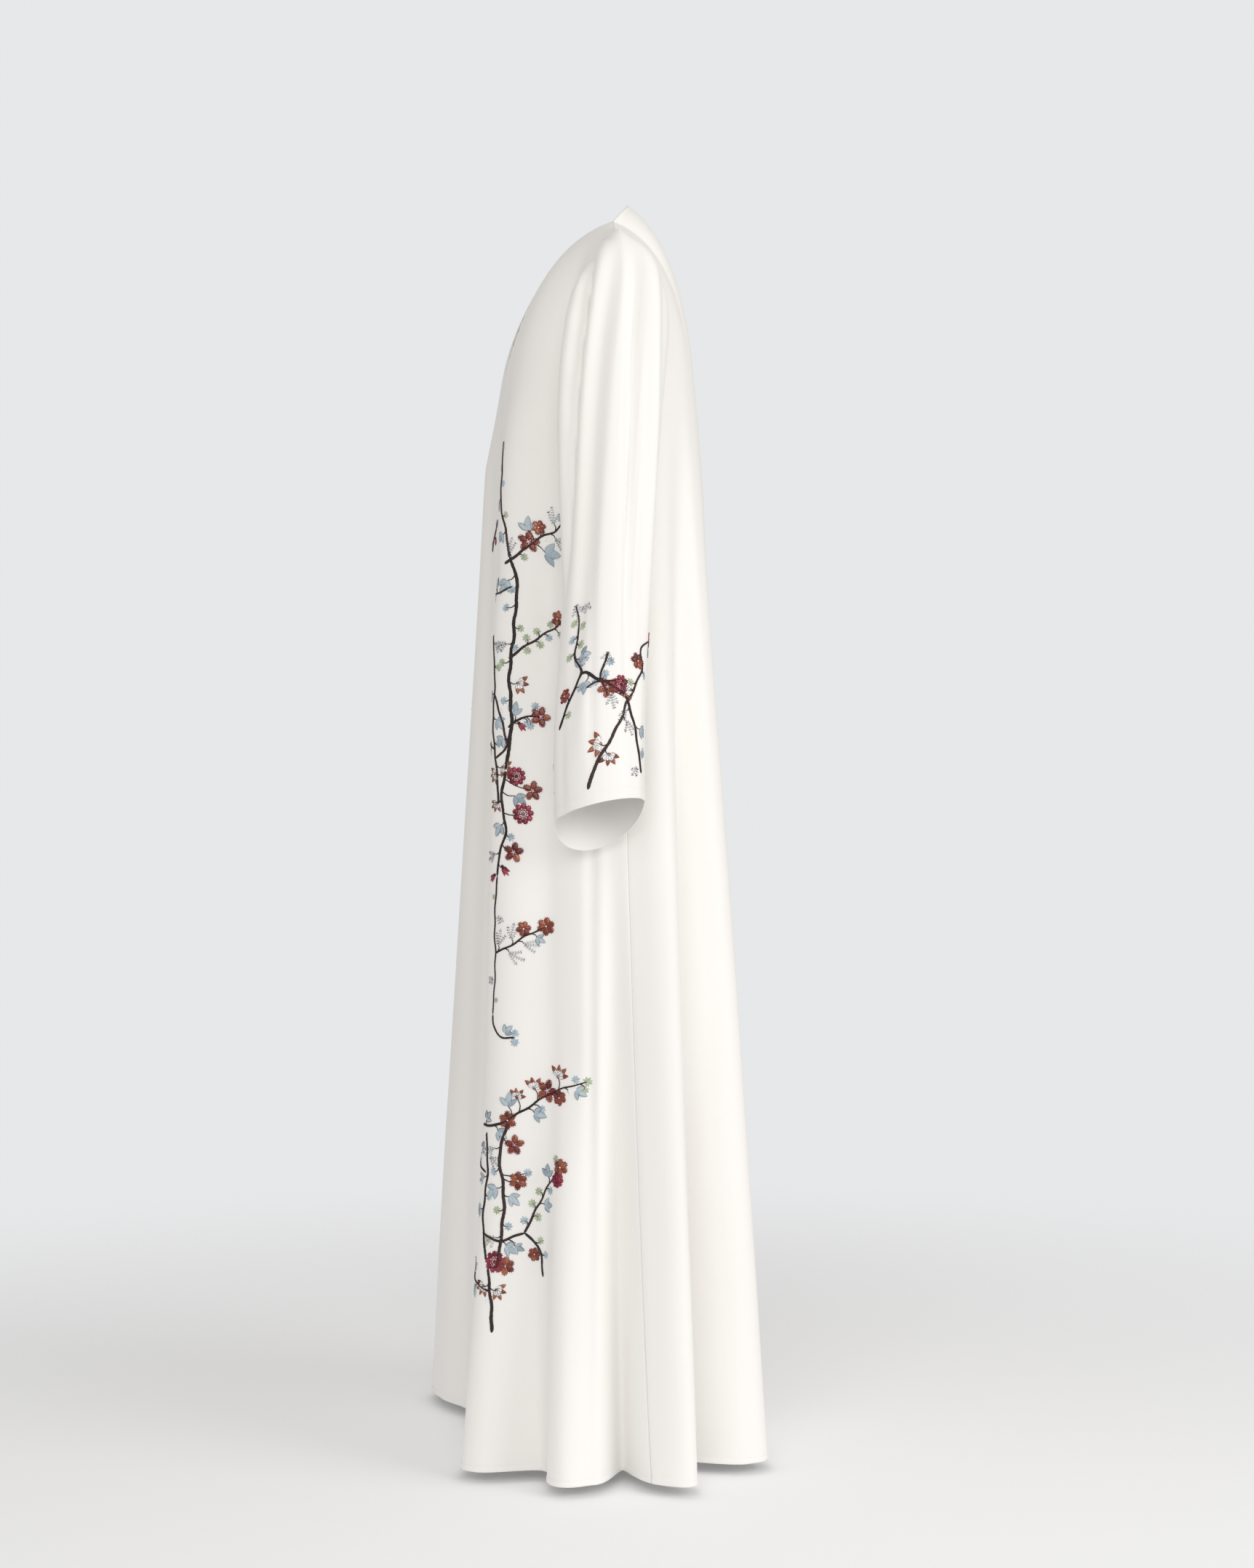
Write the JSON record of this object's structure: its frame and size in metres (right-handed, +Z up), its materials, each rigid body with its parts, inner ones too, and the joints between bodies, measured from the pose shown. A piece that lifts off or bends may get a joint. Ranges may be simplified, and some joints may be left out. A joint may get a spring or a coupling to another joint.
{
  "type": "abaya",
  "caption": "Floor-length open-front abaya in light crepe with long set-in sleeves and a V neck, hollow and hanging as worn.",
  "frame": {"origin": "midway between the two points where the shoulder seams meet the neck, where the shoulders carry the garment", "axes": "+Z up, -Y towards the front opening, +X towards the wearer's left sleeve"},
  "size_m": [0.6192, 0.3787, 1.4911],
  "materials": {
    "crepe": "off-white crepe with a soft satin sheen",
    "twig_thread": "dark brown thread, satin-stitched",
    "copper_beads": "copper and rust glass beads",
    "crimson_beads": "crimson glass beads",
    "blue_thread": "pale blue-grey stitched leaves",
    "green_thread": "pale green stitched buds",
    "grey_beads": "smoke-grey glass beads",
    "clear_sequins": "clear sequins"
  },
  "bodies": {
    "root": {"front_left": "crepe", "front_right": "crepe", "back": "crepe", "sleeve_left": "crepe", "sleeve_right": "crepe"}
  },
  "joints": []
}
